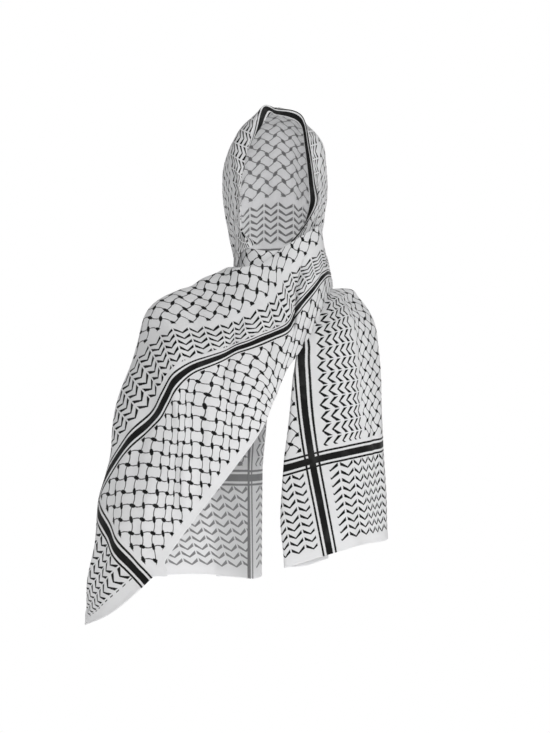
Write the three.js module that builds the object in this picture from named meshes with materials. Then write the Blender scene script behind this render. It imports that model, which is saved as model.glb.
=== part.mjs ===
// Chiffon hijab: one long scarf wound round an unseen head and shoulders.
// Millimetres, +Z up, +X to the viewer's right, -Y towards the viewer.
// The origin is the crown of the head, inside the hood, where the wearer holds it up.
import * as THREE from 'three';

// ---------------------------------------------------------------- driving sizes
// The flat scarf is 820 mm from selvage to selvage and 2030 mm from hem to hem.
const WALL = 2;                   // thickness of the cloth solids
const LAP = 2.6;                  // mid-surface to mid-surface where one layer lies on the next
const BAND_FROM_SELVAGE = 187.5;  // selvage to the middle of the long woven band
const BORDER_MIDDLE = 94;         // selvage to the middle of the border netting
const NET_FROM_SELVAGE = 277;     // selvage to where the centre netting starts
const RIM_FROM_SELVAGE = 622;     // far selvage to the fold that frames the face

// Outlines are drawn as a viewer sees them from straight ahead, on the plane y = 0,
// and each point then moves along that viewer's line of sight to its own depth.
const VIEWER = { x: 9, z: -461, distance: 3500 };

const CLOTH = { color: 0xe4e4e6, roughness: 0.85, metalness: 0 };

function sight([x, y, z]) {
  const spread = 1 + y / VIEWER.distance;
  return [VIEWER.x + (x - VIEWER.x) * spread, y, VIEWER.z + (z - VIEWER.z) * spread];
}

// ---------------------------------------------------------------- vector helpers
const plus = (a, b, k = 1) => a.map((v, i) => v + b[i] * k);
const gap = (a, b) => Math.hypot(a[0] - b[0], a[1] - b[1], a[2] - b[2]);
const cross = (a, b) => [
  a[1] * b[2] - a[2] * b[1], a[2] * b[0] - a[0] * b[2], a[0] * b[1] - a[1] * b[0]];
const unit = (a) => a.map((v) => v / (Math.hypot(a[0], a[1], a[2]) || 1));
const smooth = (k) => { const c = Math.min(1, Math.max(0, k)); return c * c * (3 - 2 * c); };

// ---------------------------------------------------------------- smooth lofting
// A knot is [x, y, z, along, across]: a place in space and the same place in the flat cloth,
// measured from the tail's hem and from the selvage.

function slope(n, k, i) {
  if (i === 0) return plus(n[1], n[0], -1).map((v) => v / (k[1] - k[0]));
  const last = n.length - 1;
  if (i === last) return plus(n[last], n[last - 1], -1).map((v) => v / (k[last] - k[last - 1]));
  const before = k[i] - k[i - 1], after = k[i + 1] - k[i];
  return n[i].map((v, c) => ((n[i + 1][c] - v) / after * before + (v - n[i - 1][c]) / before * after)
    / (before + after));
}

function curve(knots, k, at) {
  let i = 0;
  while (i < k.length - 2 && at > k[i + 1]) i += 1;
  const span = k[i + 1] - k[i], q = (at - k[i]) / span;
  const m0 = slope(knots, k, i), m1 = slope(knots, k, i + 1);
  const h = [2 * q ** 3 - 3 * q ** 2 + 1, q ** 3 - 2 * q ** 2 + q, 3 * q ** 2 - 2 * q ** 3, q ** 3 - q ** 2];
  return knots[i].map((v, c) => h[0] * v + h[1] * span * m0[c] + h[2] * knots[i + 1][c] + h[3] * span * m1[c]);
}

// Knot positions along one direction: running mean distance between neighbouring lines.
function spacing(lines) {
  const k = [0];
  for (let i = 1; i < lines[0].length; i += 1) {
    const mean = lines.reduce((sum, line) => sum + gap(line[i - 1], line[i]), 0) / lines.length;
    k.push(k[i - 1] + mean);
  }
  return k;
}

const transpose = (rows) => rows[0].map((_, c) => rows.map((row) => row[c]));

function subdivide(k, parts) {
  const out = [];
  for (let i = 0; i < k.length - 1; i += 1) {
    for (let j = 0; j < parts; j += 1) out.push(k[i] + (k[i + 1] - k[i]) * j / parts);
  }
  return [...out, k[k.length - 1]];
}

function loft(rows, acrossParts, alongParts) {
  const kAcross = spacing(rows), kAlong = spacing(transpose(rows));
  const fineRows = rows.map((row) => subdivide(kAcross, acrossParts).map((at) => curve(row, kAcross, at)));
  const columns = transpose(fineRows);
  return transpose(columns.map((col) => subdivide(kAlong, alongParts).map((at) => curve(col, kAlong, at))));
}

// ---------------------------------------------------------------- folds
// Each fold is a soft trough (depth < 0) or ridge between two places in the flat cloth.

function foldHeight(folds, along, across) {
  let height = 0;
  for (const [s0, b0, s1, b1, width, depth] of folds) {
    const ds = s1 - s0, db = b1 - b0, length = ds * ds + db * db;
    const k = ((along - s0) * ds + (across - b0) * db) / length;
    if (k > -0.15 && k < 1.15) {
      const c = Math.min(1, Math.max(0, k));
      const off = Math.hypot(along - s0 - ds * c, across - b0 - db * c) / width;
      height += depth * Math.exp(-off * off) * Math.sin(Math.PI * (c * 0.9 + 0.05)) ** 0.6;
    }
  }
  return height;
}

function normals(grid) {
  const pick = (i, j) => grid[Math.min(grid.length - 1, Math.max(0, i))][
    Math.min(grid[0].length - 1, Math.max(0, j))];
  return grid.map((row, i) => row.map((_, j) => unit(cross(
    plus(pick(i, j + 1), pick(i, j - 1), -1), plus(pick(i + 1, j), pick(i - 1, j), -1)))));
}

function draped(grid, folds) {
  const n = normals(grid);
  return grid.map((row, i) => row.map((p, j) => {
    const h = foldHeight(folds, p[3], p[4]);
    return [...plus(p.slice(0, 3), n[i][j], h), p[3], p[4]];
  }));
}

// ---------------------------------------------------------------- closed walls
function wall(grid) {
  const n = normals(grid), rows = grid.length, cols = grid[0].length;
  const position = [], index = [];
  for (const side of [0.5, -0.5]) {
    grid.forEach((row, i) => row.forEach((p, j) => {
      position.push(...plus(p.slice(0, 3), n[i][j], side * WALL));
    }));
  }
  const front = (i, j) => i * cols + j, back = (i, j) => rows * cols + i * cols + j;
  const quad = (a, b, c, d) => index.push(a, b, c, a, c, d);
  for (let i = 0; i < rows - 1; i += 1) {
    for (let j = 0; j < cols - 1; j += 1) {
      quad(front(i, j), front(i, j + 1), front(i + 1, j + 1), front(i + 1, j));
      quad(back(i, j), back(i + 1, j), back(i + 1, j + 1), back(i, j + 1));
    }
  }
  for (let j = 0; j < cols - 1; j += 1) {
    quad(front(0, j), back(0, j), back(0, j + 1), front(0, j + 1));
    quad(front(rows - 1, j), front(rows - 1, j + 1), back(rows - 1, j + 1), back(rows - 1, j));
  }
  for (let i = 0; i < rows - 1; i += 1) {
    quad(front(i, 0), front(i + 1, 0), back(i + 1, 0), back(i, 0));
    quad(front(i, cols - 1), back(i, cols - 1), back(i + 1, cols - 1), front(i + 1, cols - 1));
  }
  const geometry = new THREE.BufferGeometry();
  geometry.setAttribute('position', new THREE.Float32BufferAttribute(position, 3));
  geometry.setIndex(index);
  geometry.computeVertexNormals();
  return geometry;
}

function piece(name, grid) {
  const geometry = wall(grid);
  const mesh = new THREE.Mesh(geometry, new THREE.MeshStandardMaterial(CLOTH));
  mesh.name = name;
  return mesh;
}

// Cloth positions across a row from one known column to its last, by the distance between knots.
function paceAcross(points, from, startAcross, endAcross) {
  const run = [0];
  for (let i = from + 1; i < points.length; i += 1) {
    run.push(run[run.length - 1] + gap(points[i - 1], points[i]));
  }
  return run.map((r) => startAcross + (endAcross - startAcross) * r / run[run.length - 1]);
}

// ---------------------------------------------------------------- left tail
// From the right cheek across the chest, over the left shoulder and round the arm to the back.
// A row for each station along the cloth; columns from the front selvage round to the back edge.
const LEFT_TAIL = [
  // along, selvage, border, band, net, side, back, edge, edgeAcross
  [0, [-333, -10, -926], [-325, 58, -890], [-268, 102, -846], [-200, 118, -836], [-117, 122, -834],
    [-78, 120, -838], [-41, 114, -841], 425],
  [95, [-288, -50, -906], [-324, 15, -838], [-294, 82, -788], [-222, 112, -758], [-144, 122, -751],
    [-90, 121, -752], [-41, 116, -752], 453],
  [187, [-222, -96, -850], [-284, -44, -776], [-309, 50, -706], [-246, 105, -680], [-171, 122, -666],
    [-105, 122, -662], [-41, 116, -662], 481],
  [303, [-155, -105, -761], [-207, -95, -675], [-256, -50, -598], [-283, 20, -554], [-234, 85, -549],
    [-130, 118, -543], [-41, 116, -540], 545],
  [374, [-113, -112, -706], [-162, -112, -621], [-212, -90, -542], [-252, -10, -475], [-234, 55, -464],
    [-140, 108, -468], [-45, 116, -472], 547],
  [452, [-68, -116, -648], [-115, -118, -562], [-166, -103, -479], [-198, -62, -396], [-216, -5, -362],
    [-155, 85, -380], [-58, 114, -398], 555],
  [560, [-9, -113, -563], [-36, -118, -495], [-68, -110, -434], [-88, -85, -373], [-103, -50, -331],
    [-117, 0, -310], [-90, 72, -335], 480],
  [590, [2, -112, -536], [-20, -116, -477], [-41, -109, -423], [-60, -87, -362], [-76, -66, -324],
    [-88, -20, -293], [-80, 30, -292], 430],
  [620, [11, -110, -517], [4, -114, -464], [-13, -107, -410], [-31, -90, -353], [-45, -80, -315],
    [-59, -66, -287], [-56, -60, -283], 350],
  [671, [31, -106, -466], [34, -108, -425], [34, -104, -389], [7, -91, -320], [0, -86, -300],
    [-6, -81, -284], [-11, -76, -274], 325],
  [700, [56, -100, -430], [54, -99, -398], [50, -95, -356], [31, -89, -304], [25, -86, -284],
    [23, -82, -265], [23, -76, -248], 333],
  [740, [88, -88, -396], [83, -84, -364], [76, -78, -324], [61, -80, -281], [59, -82, -261],
    [56, -81, -245], [53, -80, -229], 332],
  [782, [122, -54, -346], [115, -44, -324], [101, -40, -293], [96, -42, -252], [93, -44, -236],
    [90, -47, -221], [87, -50, -209], 322],
  [850, [150, 8, -334], [132, 42, -323], [109, 54, -295], [99, 42, -252], [96, 29, -236],
    [94, 14, -220], [93, -2, -206], 322],
];

const LEFT_TAIL_FOLDS = [
  // along and across of each end, width, depth
  [690, 130, 742, 285, 9, -9],
  [452, 200, 330, 20, 16, -9],
  [470, 215, 470, 330, 14, -6],
  [640, 120, 560, 20, 16, 5],
  [300, 330, 120, 360, 26, 6],
  [330, 470, 60, 400, 24, -7],
];

function leftTailRows() {
  return LEFT_TAIL.map(([along, ...cells]) => {
    const edgeAcross = cells.pop();
    const points = cells.map(sight);
    const across = [0, BORDER_MIDDLE, BAND_FROM_SELVAGE,
      ...paceAcross(points, 3, NET_FROM_SELVAGE, edgeAcross)];
    return points.map((p, i) => [...p, along, across[i]]);
  });
}

// ---------------------------------------------------------------- folded back edge of the left tail
// A narrow pleat under the left tail's back edge: forward face, turned fold, and a strip behind.
const LEFT_TURN = [
  // along, tuck, front, foldFront, foldBack, behind, meetsEdge
  [0, [-52, 120, -840], [-30, 118, -842], [-16, 115, -838], [-16, 126, -832], [-48, 134, -836], [-96, 137, -838]],
  [187, [-54, 122, -662], [-32, 119, -662], [-15, 116, -660], [-15, 127, -658], [-48, 136, -660],
    [-98, 139, -662]],
  [380, [-58, 122, -470], [-34, 119, -470], [-15, 115, -470], [-15, 126, -470], [-48, 133, -470],
    [-92, 136, -474]],
  [470, [-78, 121, -384], [-69, 121, -386], [-60, 119, -386], [-60, 126, -386], [-68, 130, -386],
    [-80, 131, -388]],
];
const TURN_ACROSS = [172, 200, 232, 244, 276, 324];

function leftTurnRows() {
  return LEFT_TURN.map(([along, ...cells]) => cells.map(sight).map((p, i) => [...p, along, TURN_ACROSS[i]]));
}

// ---------------------------------------------------------------- right tail
// From under the chin over the right shoulder: the border is folded under at the front edge and
// the rest goes round the arm to the back.
const RIGHT_TAIL = [
  // along, under, underMiddle, fold, band, net, side, armBack, back, backEdge, foldAcross
  [0, [104, -72, -806], [63, -75, -819], [24, -84, -822], [108, -96, -798], [176, -62, -779], [212, -5, -770],
    [186, 56, -770], [126, 94, -772], [60, 100, -776], 105],
  [95, [110, -74, -722], [66, -77, -735], [17, -86, -737], [92, -98, -715], [167, -70, -697], [209, -10, -684],
    [180, 50, -682], [122, 95, -684], [60, 102, -688], 115],
  [187, [112, -76, -641], [66, -79, -650], [22, -87, -645], [76, -99, -631], [158, -78, -612], [203, -15, -599],
    [178, 52, -596], [118, 95, -598], [62, 104, -602], 138],
  [280, [112, -79, -556], [76, -83, -556], [33, -89, -545], [63, -100, -542], [151, -84, -524], [199, -20, -513],
    [172, 45, -510], [118, 95, -512], [64, 104, -516], 160],
  [370, [112, -81, -470], [82, -84, -468], [42, -88, -462], [57, -97, -461], [144, -86, -446], [193, -22, -434],
    [167, 42, -430], [118, 90, -434], [68, 99, -440], 172],
  [440, [112, -74, -412], [86, -78, -410], [54, -80, -408], [64, -88, -406], [136, -74, -380], [181, -20, -370],
    [151, 36, -372], [114, 74, -388], [74, 88, -396], 176],
  [505, [108, -60, -378], [92, -64, -374], [70, -66, -372], [78, -72, -368], [122, -48, -358], [158, -12, -347],
    [136, 27, -355], [120, 66, -364], [90, 82, -380], 178],
  [560, [100, -44, -352], [94, -46, -348], [84, -46, -346], [90, -50, -342], [108, -32, -343], [126, -8, -344],
    [118, 18, -348], [116, 46, -353], [104, 68, -360], 180],
];
const FOLD_TURN = 5;              // half the depth of the hairpin at the front edge
const BACK_EDGE_ACROSS = 640;

const RIGHT_TAIL_FOLDS = [
  [560, 240, 440, 236, 12, -6],
  [540, 300, 380, 262, 12, 5],
  [180, 300, 10, 330, 26, -6],
  [400, 470, 20, 480, 28, -10],
  [420, 540, 20, 560, 26, 10],
];

function rightTailRows() {
  return RIGHT_TAIL.map(([along, ...cells]) => {
    const foldAcross = cells.pop();
    const [under, underMiddle, fold, band, ...round] = cells.map(sight);
    const foldBack = plus(fold, [3, FOLD_TURN, 0]), foldFront = plus(fold, [3, -FOLD_TURN, 0]);
    const outer = paceAcross([band, ...round], 0, BAND_FROM_SELVAGE, BACK_EDGE_ACROSS);
    outer[1] = NET_FROM_SELVAGE;
    const points = [under, underMiddle, foldBack, foldFront, band, ...round];
    const across = [0, foldAcross / 2, foldAcross - 4, foldAcross + 4, ...outer];
    return points.map((p, i) => [...p, along, across[i]]);
  });
}

// ---------------------------------------------------------------- hood
// The stretch over the head: arches from the fold that frames the face, over the crown and the
// back of the head, down to the selvage that lies across the upper back.
const RIM = [
  // station along the arch: [x, y, z] of the fold
  [-36, -78, -245], [-52, -70, -217], [-54, -62, -162], [-47, -68, -90], [-20, -88, 0], [14, -94, 4],
  [61, -86, -13], [72, -76, -63], [81, -64, -126], [85, -60, -169], [56, -70, -219], [40, -74, -238],
];
const ARCH = [
  // share of the half width, share of the height, one for each station of the rim
  [-1, 0], [-0.82, 0.17], [-0.92, 0.4], [-0.99, 0.66], [-0.64, 0.9], [0.05, 1],
  [0.64, 0.89], [0.97, 0.74], [0.98, 0.48], [0.9, 0.3], [0.84, 0.12], [1, 0],
];
const HOOD = [
  // across, top y, top z, half width left, half width right, left end, right end
  [588, -58, -3, 83, 86, [-50, -62, -258], [66, -46, -240]],
  [540, -10, 0, 92, 92, [-60, -36, -282], [76, -34, -242]],
  [486, 42, -11, 94, 94, [-63, -12, -292], [80, -22, -246]],
  [428, 88, -46, 94, 94, [-65, 8, -296], [82, -8, -250]],
  [372, 112, -98, 92, 92, [-66, 26, -300], [83, 6, -254]],
  [306, 114, -163, 88, 88, [-66, 42, -306], [84, 16, -260]],
  [240, 98, -228, 80, 82, [-68, 48, -308], [86, 22, -276]],
  [178, 90, -288, 78, 92, [-78, 44, -314], [97, 26, -300]],
  [112, 98, -346, 84, 118, [-88, 36, -332], [122, 26, -326]],
  [50, 110, -400, 90, 147, [-98, 32, -352], [144, 19.2, -332.3]],
  [0, 116, -444, 92, 156, [-104, 28, -370], [157, 18, -337]],
];
const HOOD_MIDDLE = 9;            // the head sits a little to the viewer's right
const CROWN_ALONG = 925;          // cloth from the right tail's hem to the crown
const HOOD_PARTS = 3;             // facets between two stations of an arch

function archRow([across, topY, topZ, halfLeft, halfRight, left, right]) {
  return ARCH.map(([share, height]) => {
    const end = share < 0 ? left : right;
    const x = HOOD_MIDDLE + share * (share < 0 ? halfLeft : halfRight);
    const k = smooth(height / 0.4);
    return [end[0] + (x - end[0]) * k, end[1] + (topY - end[1]) * height,
      end[2] + (topZ - end[2]) * height, 0, across];
  });
}

function paceAlong(row, middle = 5) {
  const run = [0];
  for (let i = 1; i < row.length; i += 1) run.push(run[i - 1] + gap(row[i - 1], row[i]));
  return row.map((p, i) => [p[0], p[1], p[2], CROWN_ALONG + run[i] - run[middle], p[4]]);
}

function hoodRows() {
  const rim = RIM.map(sight).map((p) => [...p, 0, RIM_FROM_SELVAGE]);
  return [rim, ...HOOD.map(archRow)].map((row) => paceAlong(row));
}

const HOOD_FOLDS = [
  [640, 500, 700, 250, 14, -6],
  [1180, 520, 1120, 260, 14, -6],
  [800, 170, 1040, 150, 16, -5],
  [760, 90, 1080, 84, 18, 6],
];

// The border turned in behind the fold: inward and back from each station of the rim.
const FACING = [
  [4, 20, 3], [3, 22, 1], [2, 26, 0], [5, 25, -2], [9, 24, -10], [0, 26, -12],
  [-5, 26, -13], [-5, 24, -4], [-9, 20, 0], [-13, 17, 5], [-8, 19, 8], [-5, 19, 6],
];

function facingGrid(hood) {
  const inside = normals(hood)[0], stations = spacing(hoodRows());
  const turn = subdivide(stations, HOOD_PARTS).map((at) => curve(FACING, stations, at));
  return [0.02, 0.55, 1].map((k) => hood[0].map((p, j) => [
    ...plus(plus(p.slice(0, 3), inside[j], -LAP), turn[j], k), p[3], RIM_FROM_SELVAGE + 4 + 26 * k]));
}

// ---------------------------------------------------------------- under the chin
const UNDER_CHIN = [
  // top, middle, low of each station from the left side of the neck to the right
  [[-58.6, 22, -256], [-59.4, 22, -276], [-60, 22, -304]],
  [[-56, -18, -250], [-58, -20, -272], [-59, -21, -304]],
  [[-43, -48, -248], [-45, -51, -272], [-46, -52, -304]],
  [[-6, -66, -253], [-7, -68, -276], [-8, -70, -306]],
  [[30, -64, -250], [31, -66, -274], [33, -68, -304]],
  [[54, -46, -246], [57, -47, -268], [60, -48, -298]],
];
const CHIN_ACROSS = [622, 596, 560];

function underChinRows() {
  const rows = UNDER_CHIN.map((cells) => cells.map(sight).map((p, i) => [...p, 0, CHIN_ACROSS[i]]));
  return rows.map((row, r) => row.map((p) => [p[0], p[1], p[2], 560 - 45 * r, p[4]]));
}

// ---------------------------------------------------------------- the garment
const hood = draped(loft(hoodRows(), HOOD_PARTS, 2), HOOD_FOLDS);

const hijab = new THREE.Group();
hijab.add(piece('hood', hood));
hijab.add(piece('hood_border', facingGrid(hood)));
hijab.add(piece('under_chin', loft(underChinRows(), 3, 3)));
hijab.add(piece('left_tail', draped(loft(leftTailRows(), 4, 3), LEFT_TAIL_FOLDS)));
hijab.add(piece('left_tail_turn', loft(leftTurnRows(), 2, 4)));
hijab.add(piece('right_tail', draped(loft(rightTailRows(), 3, 3), RIGHT_TAIL_FOLDS)));

export default hijab;
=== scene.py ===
"""Looks of a printed chiffon hijab: one long scarf wound as a hood, with two tails.

The tables are in millimetres, +Z up, +X to the right of someone who faces the garment and
-Y towards them. The origin is the crown of the head. Meshes are built in metres.
"""
from __future__ import annotations

import logging
import math
from dataclasses import dataclass, replace
from enum import Enum
from typing import Any, Callable, Sequence, Union

import bpy
import numpy as np
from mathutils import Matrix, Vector

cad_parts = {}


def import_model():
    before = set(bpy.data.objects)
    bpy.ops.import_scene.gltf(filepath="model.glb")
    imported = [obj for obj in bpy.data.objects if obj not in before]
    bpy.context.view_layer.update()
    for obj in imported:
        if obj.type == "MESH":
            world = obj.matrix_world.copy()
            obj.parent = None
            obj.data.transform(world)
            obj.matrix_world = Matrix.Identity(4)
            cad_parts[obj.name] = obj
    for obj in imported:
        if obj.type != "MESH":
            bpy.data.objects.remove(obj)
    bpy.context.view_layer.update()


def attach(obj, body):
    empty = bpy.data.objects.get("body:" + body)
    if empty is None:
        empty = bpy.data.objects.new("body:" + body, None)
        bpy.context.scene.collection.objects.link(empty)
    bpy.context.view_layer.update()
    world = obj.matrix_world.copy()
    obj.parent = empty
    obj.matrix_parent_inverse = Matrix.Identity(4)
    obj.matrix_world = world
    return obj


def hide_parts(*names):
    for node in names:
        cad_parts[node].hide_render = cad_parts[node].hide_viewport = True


LOG = logging.getLogger("hijab")
METRE = 0.001
VIEWER = np.array([9.0, -461.0])     # x and z of the eye that the outlines are drawn for
VIEWER_DISTANCE = 3500.0
SCARF_WIDTH = 820.0                  # selvage to selvage
SCARF_LENGTH = 2030.0                # hem to hem
LAP = 2.6                            # one layer's middle to the next one's
BORDER_MIDDLE = 94.0                 # selvage to the middle of the border netting
BAND_MIDDLE = 187.5                  # selvage to the middle of the long band
NET_START = 277.0                    # selvage to the start of the centre netting
CLOTH_HALF = 0.42                    # half the thickness of the cloth
HEM_HALF = 0.95                      # half the thickness of a rolled hem
HEM_REACH = 2.6                      # how far a rolled hem reaches in
EDGE_ROWS = (0.0, 0.9, 1.9, 3.1)     # places of the mesh's rows beside an edge
INNER_START = 4.4                    # nearest that any other row comes to an edge
QUICK_STEP, FULL_STEP = 5.0, 4.2     # widest distance between two points of a mesh
# cell along, cell across and share of each layer of small waves
SMALL_WAVES = (((95.0, 34.0), 1.0), ((41.0, 52.0), 0.6), ((23.0, 17.0), 0.35))
WAVE_FADE, PULL_FADE = 26.0, 40.0    # how far in from an edge they reach their full size
CHART_MARGIN = 0.012                 # bare rim of the baked picture, as a share of it
LINE_BLUR, PRINT_BLUR = 0.6, 0.8     # softness of the print's edges
SENSOR = 36.0                        # height of the camera's picture
WHITE = (1.0, 1.0, 1.0, 1.0)

Rows = tuple[tuple[Any, ...], ...]
Point = tuple[float, float, float]


class Side(Enum):
    """Face of the cloth."""

    RIGHT = "printed"
    WRONG = "reverse"


class Edge(Enum):
    """How one side of a stretch of cloth ends."""

    ROLLED = "rolled hem"
    PLAIN = "hidden or folded"


@dataclass(frozen=True)
class Crease:
    """Soft trough (depth below 0) or ridge between two places in the flat cloth."""

    start_along: float
    start_across: float
    end_along: float
    end_across: float
    width: float
    depth: float
    shoulders: float = 0.0
    gather: float = 0.0

    def line(self) -> tuple[np.ndarray, np.ndarray]:
        """Start of the crease and the way from there to its end."""
        start = np.array([self.start_along, self.start_across])
        return start, np.array([self.end_along, self.end_across]) - start

    def pull(self, flat: np.ndarray) -> np.ndarray:
        """How far the print is drawn in towards the crease at every point, in millimetres."""
        start, run = self.line()
        spill, reach = 0.2, 6.0
        side = np.array([-run[1], run[0]]) / np.linalg.norm(run)
        share = ((flat - start) @ run) / (run @ run)
        off = ((flat - start) @ side) / self.width
        fade = soften((share + spill) / (2 * spill)) * soften((1 + spill - share) / (2 * spill))
        return (self.gather * off * np.exp(-off * off / reach) * fade)[..., None] * side

    def height(self, flat: np.ndarray) -> np.ndarray:
        """Height of the crease over the flat cloth.

        Args:
            flat: along and across of every point, in millimetres.

        Returns:
            The height at every point, in millimetres.
        """
        start, run = self.line()
        shoulder_off, shoulder_narrow, end_fade = 1.9, 1.4, 0.15
        share = ((flat - start) @ run) / (run @ run)
        held = np.clip(share, 0.0, 1.0)
        off = np.linalg.norm(flat - start - held[..., None] * run, axis=-1) / self.width
        shoulder = np.exp(-((off - shoulder_off) ** 2) * shoulder_narrow)
        profile = np.exp(-off * off) - self.shoulders * shoulder
        swell = np.sin(np.pi * (held * 0.9 + 0.05)) ** 0.6
        fade = np.clip(1.0 - (np.abs(share - 0.5) - 0.5) / end_fade, 0.0, 1.0)
        return self.depth * profile * swell * fade


def soften(share: np.ndarray) -> np.ndarray:
    """Smooth step from 0 to 1."""
    held = np.clip(share, 0.0, 1.0)
    return held * held * (3.0 - 2.0 * held)


def ripple(flat: np.ndarray, cell: Sequence[float], seed: int) -> np.ndarray:
    """Uneven soft waves over the flat cloth.

    Args:
        flat: along and across of every point.
        cell: size of one wave along and across.
        seed: seed of the waves.

    Returns:
        A height from -1 to 1 at every point.
    """
    cells = 60
    field = np.random.RandomState(seed).uniform(-1.0, 1.0, (cells + 1, cells + 1))
    place = flat / np.array(cell)
    low = np.floor(place).astype(int)
    share = soften(place - low)
    i, j = low[..., 0] % cells, low[..., 1] % cells
    near = field[i, j] * (1 - share[..., 1]) + field[i, j + 1] * share[..., 1]
    far = field[i + 1, j] * (1 - share[..., 1]) + field[i + 1, j + 1] * share[..., 1]
    return near * (1 - share[..., 0]) + far * share[..., 0]


def sight(points: np.ndarray) -> np.ndarray:
    """Moves points drawn on the plane y = 0 along the eye's lines to their own depth."""
    spread = 1.0 + points[..., 1] / VIEWER_DISTANCE
    out = points.copy()
    out[..., 0] = VIEWER[0] + (points[..., 0] - VIEWER[0]) * spread
    out[..., 2] = VIEWER[1] + (points[..., 2] - VIEWER[1]) * spread
    return out


def gaps(points: np.ndarray, axis: int = 0) -> np.ndarray:
    """Distance from each point to the next."""
    return np.linalg.norm(np.diff(points, axis=axis), axis=-1)


def walked(steps: np.ndarray) -> np.ndarray:
    """Distance walked after each step, from 0."""
    return np.concatenate([[0.0], np.cumsum(steps)])


def pace(points: np.ndarray, start: float, end: float) -> np.ndarray:
    """Cloth positions from start to end, by the distance between the points."""
    run = walked(gaps(points))
    return start + (end - start) * run / run[-1]


def through(values: np.ndarray, knots: np.ndarray, at: np.ndarray) -> np.ndarray:
    """Smooth curve through values.

    Args:
        values: one row for each knot.
        knots: rising positions of the knots.
        at: positions that are wanted.

    Returns:
        One row for each wanted position.
    """
    spans = np.diff(knots)[:, None]
    rises = np.diff(values, axis=0) / spans
    slopes = np.empty_like(values)
    slopes[0], slopes[-1] = rises[0], rises[-1]
    slopes[1:-1] = (rises[1:] * spans[:-1] + rises[:-1] * spans[1:]) / (spans[:-1] + spans[1:])
    i = np.clip(np.searchsorted(knots, at, side="right") - 1, 0, len(knots) - 2)
    span = spans[i]
    q = (at - knots[i])[:, None] / span
    return ((2 * q ** 3 - 3 * q ** 2 + 1) * values[i] + (q ** 3 - 2 * q ** 2 + q) * span * slopes[i]
            + (3 * q ** 2 - 2 * q ** 3) * values[i + 1] + (q ** 3 - q ** 2) * span * slopes[i + 1])


def stations(knots: np.ndarray, longest: np.ndarray, step: float) -> np.ndarray:
    """Positions no further apart than a step, and closer beside both ends.

    Args:
        knots: rising positions of the knots.
        longest: longest real distance between each knot and the next.
        step: widest distance between two positions.

    Returns:
        The rising positions.
    """
    out: list[float] = []
    for low, high, reach in zip(knots[:-1], knots[1:], longest):
        parts = max(2, int(math.ceil(reach / step)))
        out.extend(low + (high - low) * k / parts for k in range(parts))
    out.append(float(knots[-1]))
    first, last = float(knots[0]), float(knots[-1])
    inner = [at for at in out[1:-1] if first + INNER_START < at < last - INNER_START]
    return np.array([first + e for e in EDGE_ROWS] + inner + [last - e for e in EDGE_ROWS[::-1]])


@dataclass
class Surface:
    """Middle of a stretch of cloth: a grid of places, each with its place in the flat cloth.

    Cloth hidden in a tuck moves the print on, in the cells beyond the tuck.
    """

    place: np.ndarray
    flat: np.ndarray
    walk_rows: np.ndarray
    walk_columns: np.ndarray
    hidden: np.ndarray | None = None
    beyond: np.ndarray | None = None

    def normals(self) -> np.ndarray:
        """Unit normals on the printed side, one for each point."""
        across = np.gradient(self.place, axis=1)
        along = np.gradient(self.place, axis=0)
        normal = np.cross(across, along)
        return normal / np.maximum(np.linalg.norm(normal, axis=-1, keepdims=True), 1e-9)

    def raised(self, height: np.ndarray) -> "Surface":
        """The surface moved out by a height at each point."""
        return replace(self, place=self.place + self.normals() * height[..., None])

    def inset(self) -> np.ndarray:
        """Distance of each point from the nearest side of the grid, in millimetres."""
        rows = np.minimum(self.walk_rows, self.walk_rows[-1] - self.walk_rows)
        columns = np.minimum(self.walk_columns, self.walk_columns[-1] - self.walk_columns)
        return np.minimum(rows[:, None], columns[None, :])


def loft(knots: np.ndarray, step: float) -> Surface:
    """Smooth surface through rows of knots.

    Args:
        knots: rows by columns by x, y, z, along and across.
        step: widest distance between two points.

    Returns:
        The surface.
    """
    rows, columns, _ = knots.shape
    wide, long = gaps(knots[..., :3], axis=1), gaps(knots[..., :3])
    k_columns, k_rows = walked(wide.mean(axis=0)), walked(long.mean(axis=1))
    at_columns = stations(k_columns, wide.max(axis=0), step)
    at_rows = stations(k_rows, long.max(axis=1), step)
    values = knots.transpose(1, 0, 2).reshape(columns, rows * 5)
    fine = through(values, k_columns, at_columns).reshape(len(at_columns), rows, 5)
    values = fine.transpose(1, 0, 2).reshape(rows, len(at_columns) * 5)
    fine = through(values, k_rows, at_rows).reshape(len(at_rows), len(at_columns), 5)
    return Surface(fine[..., :3], fine[..., 3:], at_rows, at_columns)


def draped(surface: Surface, creases: Sequence[Crease], waves: float, seed: int) -> Surface:
    """Lays creases and small waves on a surface.

    Args:
        surface: the smooth surface.
        creases: troughs and ridges.
        waves: height of the small waves in millimetres.
        seed: seed of the small waves.

    Returns:
        The creased surface.
    """
    height = np.zeros(surface.flat.shape[:2])
    for crease in creases:
        height += crease.height(surface.flat)
    small = sum(share * ripple(surface.flat, cell, seed + number)
                for number, (cell, share) in enumerate(SMALL_WAVES))
    height += waves * small * soften(surface.inset() / WAVE_FADE)
    pulled = sum((crease.pull(surface.flat) for crease in creases if crease.gather),
                 np.zeros_like(surface.flat))
    raised = surface.raised(height)
    raised.flat = surface.flat + pulled * soften(surface.inset() / PULL_FADE)[..., None]
    return raised


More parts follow.
